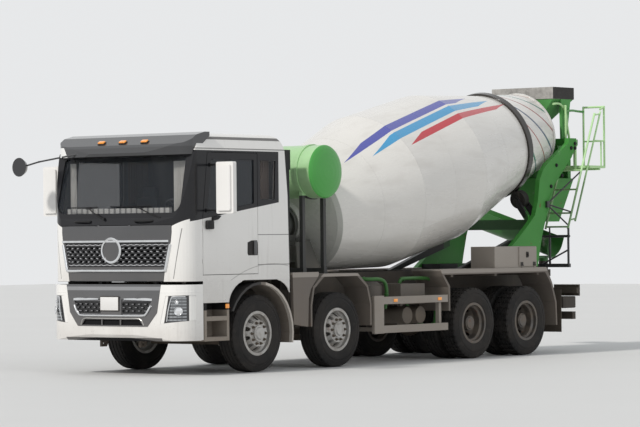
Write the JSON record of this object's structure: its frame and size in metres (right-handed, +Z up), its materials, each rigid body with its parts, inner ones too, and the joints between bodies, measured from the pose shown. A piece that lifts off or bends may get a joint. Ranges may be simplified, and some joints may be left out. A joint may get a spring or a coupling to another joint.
{
  "type": "concrete mixer truck",
  "caption": "Heavy forward-control truck with a tilted rotating mixer drum, rear hopper, swinging discharge chute, side ladder with platform, water tank and tilting cab.",
  "frame": {"origin": "on the ground under the middle of the overall length, midway between the sides", "axes": "+X forward, +Y to the truck's left, +Z up; the wheels stand on Z = 0"},
  "size_m": [11.0679, 3.5, 4.25],
  "materials": {
    "cab_white": "gloss, dusty",
    "trim_grey": "satin",
    "black_plastic": "matt",
    "chassis_black": "matt, dirty",
    "drum_white": "gloss, dusty",
    "mixer_green": "satin, cement stained",
    "rail_green": "satin",
    "fender_grey": "matt, cement stained",
    "tank_grey": "satin",
    "lamp_glass": "clear, polished",
    "glass": "polished",
    "interior": "matt",
    "tyre": "matt, dusty",
    "rim_silver": "satin, dirty",
    "rim_dark": "matt, dirty",
    "axle_metal": "matt"
  },
  "bodies": {
    "chassis": {"frame_rails": "chassis_black", "powertrain": "axle_metal", "front_axles": "axle_metal", "rear_axles": "axle_metal", "bumper": "cab_white", "bumper_insert": "trim_grey", "headlamps": "lamp_glass", "steps": "black_plastic", "front_mudguards": "fender_grey", "fenders": "fender_grey", "side_guards": "fender_grey", "side_tanks": "tank_grey", "water_tank": "mixer_green", "tank_stand": "chassis_black", "front_pedestal": "mixer_green", "rear_pedestal": "mixer_green", "hopper": "mixer_green", "platform": "rail_green", "ladder": "rail_green", "toolbox": "fender_grey", "rear_bar": "chassis_black", "air_intake": "black_plastic"},
    "cab": {"cab_shell": "cab_white", "cab_glass": "glass", "visor": "trim_grey", "cab_interior": "interior"},
    "front_lid": {"front_lid": "trim_grey", "grille": "black_plastic"},
    "toolbox_lid": {"toolbox_lid": "fender_grey"},
    "drum": {"drum": "drum_white"},
    "chute_yoke": {"chute_yoke": "mixer_green"},
    "chute": {"chute": "mixer_green"},
    "door_left": {"door_left": "cab_white", "door_glass_left": "glass", "mirror_left": "cab_white"},
    "knuckle_left_1": {"knuckle_left_1": "axle_metal"},
    "wheel_left_1": {"rim_left_1": "rim_silver", "tyre_left_1": "tyre"},
    "knuckle_left_2": {"knuckle_left_2": "axle_metal"},
    "wheel_left_2": {"rim_left_2": "rim_silver", "tyre_left_2": "tyre"},
    "wheel_left_3": {"rim_left_3": "rim_dark", "tyre_left_3": "tyre"},
    "wheel_left_4": {"rim_left_4": "rim_dark", "tyre_left_4": "tyre"},
    "roller_left": {"roller_left": "axle_metal"},
    "door_right": {"door_right": "cab_white", "door_glass_right": "glass", "mirror_right": "cab_white"},
    "knuckle_right_1": {"knuckle_right_1": "axle_metal"},
    "wheel_right_1": {"rim_right_1": "rim_silver", "tyre_right_1": "tyre"},
    "knuckle_right_2": {"knuckle_right_2": "axle_metal"},
    "wheel_right_2": {"rim_right_2": "rim_silver", "tyre_right_2": "tyre"},
    "wheel_right_3": {"rim_right_3": "rim_dark", "tyre_right_3": "tyre"},
    "wheel_right_4": {"rim_right_4": "rim_dark", "tyre_right_4": "tyre"},
    "roller_right": {"roller_right": "axle_metal"}
  },
  "joints": [
    {"name": "cab_tilt", "type": "hinge", "parent": "chassis", "child": "cab", "pos_m": [5.2825, 0, 0.98], "axis": [0, 1, 0], "range_deg": [0, 50]},
    {"name": "front_lid_hinge", "type": "hinge", "parent": "cab", "child": "front_lid", "pos_m": [5.3375, 0, 2.049], "axis": [0, -1, 0], "range_deg": [0, 70]},
    {"name": "toolbox_lid_hinge", "type": "hinge", "parent": "chassis", "child": "toolbox_lid", "pos_m": [-2.8725, 1.233, 1.37], "axis": [-1, 0, 0], "range_deg": [0, 90]},
    {"name": "drum_spin", "type": "hinge", "parent": "chassis", "child": "drum", "pos_m": [1.3055, 0, 2.169], "axis": [-0.9744, 0, 0.225], "continuous": true},
    {"name": "chute_swing", "type": "hinge", "parent": "chassis", "child": "chute_yoke", "pos_m": [-5.1175, 0, 1.55], "axis": [0, 0, -1], "range_deg": [0, 95]},
    {"name": "chute_tilt", "type": "hinge", "parent": "chute_yoke", "child": "chute", "pos_m": [-5.1175, 0, 1.78], "axis": [1, 0, 0], "range_deg": [0, 40]},
    {"name": "door_left_hinge", "type": "hinge", "parent": "cab", "child": "door_left", "pos_m": [4.9285, 1.245, 1.765], "axis": [0, 0, -1], "range_deg": [0, 75]},
    {"name": "steer_left_1", "type": "hinge", "parent": "chassis", "child": "knuckle_left_1", "pos_m": [3.6925, 0.82, 0.5385], "axis": [0, 0, 1], "range_deg": [-35, 35]},
    {"name": "spin_left_1", "type": "hinge", "parent": "knuckle_left_1", "child": "wheel_left_1", "pos_m": [3.6925, 1.0345, 0.5385], "axis": [0, 1, 0], "continuous": true},
    {"name": "steer_left_2", "type": "hinge", "parent": "chassis", "child": "knuckle_left_2", "pos_m": [1.8925, 0.82, 0.5385], "axis": [0, 0, 1], "range_deg": [-25, 25]},
    {"name": "spin_left_2", "type": "hinge", "parent": "knuckle_left_2", "child": "wheel_left_2", "pos_m": [1.8925, 1.0345, 0.5385], "axis": [0, 1, 0], "continuous": true},
    {"name": "spin_left_3", "type": "hinge", "parent": "chassis", "child": "wheel_left_3", "pos_m": [-1.4175, 1.0875, 0.5385], "axis": [0, 1, 0], "continuous": true},
    {"name": "spin_left_4", "type": "hinge", "parent": "chassis", "child": "wheel_left_4", "pos_m": [-2.8175, 1.0875, 0.5385], "axis": [0, 1, 0], "continuous": true},
    {"name": "roller_left_spin", "type": "hinge", "parent": "chassis", "child": "roller_left", "pos_m": [-3.71699, 0.50415, 2.43235], "axis": [-0.9744, 0, 0.225], "continuous": true},
    {"name": "door_right_hinge", "type": "hinge", "parent": "cab", "child": "door_right", "pos_m": [4.9285, -1.245, 1.765], "axis": [0, 0, 1], "range_deg": [0, 75]},
    {"name": "steer_right_1", "type": "hinge", "parent": "chassis", "child": "knuckle_right_1", "pos_m": [3.6925, -0.82, 0.5385], "axis": [0, 0, 1], "range_deg": [-35, 35]},
    {"name": "spin_right_1", "type": "hinge", "parent": "knuckle_right_1", "child": "wheel_right_1", "pos_m": [3.6925, -1.0345, 0.5385], "axis": [0, 1, 0], "continuous": true},
    {"name": "steer_right_2", "type": "hinge", "parent": "chassis", "child": "knuckle_right_2", "pos_m": [1.8925, -0.82, 0.5385], "axis": [0, 0, 1], "range_deg": [-25, 25]},
    {"name": "spin_right_2", "type": "hinge", "parent": "knuckle_right_2", "child": "wheel_right_2", "pos_m": [1.8925, -1.0345, 0.5385], "axis": [0, 1, 0], "continuous": true},
    {"name": "spin_right_3", "type": "hinge", "parent": "chassis", "child": "wheel_right_3", "pos_m": [-1.4175, -1.0875, 0.5385], "axis": [0, 1, 0], "continuous": true},
    {"name": "spin_right_4", "type": "hinge", "parent": "chassis", "child": "wheel_right_4", "pos_m": [-2.8175, -1.0875, 0.5385], "axis": [0, 1, 0], "continuous": true},
    {"name": "roller_right_spin", "type": "hinge", "parent": "chassis", "child": "roller_right", "pos_m": [-3.71699, -0.50415, 2.43235], "axis": [-0.9744, 0, 0.225], "continuous": true}
  ],
  "couplings": [
    {"joint": "steer_left_2", "follows": "steer_left_1", "ratio": 0.7},
    {"joint": "roller_left_spin", "follows": "drum_spin", "ratio": -6.2},
    {"joint": "steer_right_1", "follows": "steer_left_1", "ratio": 1},
    {"joint": "steer_right_2", "follows": "steer_left_1", "ratio": 0.7},
    {"joint": "roller_right_spin", "follows": "drum_spin", "ratio": -6.2}
  ]
}
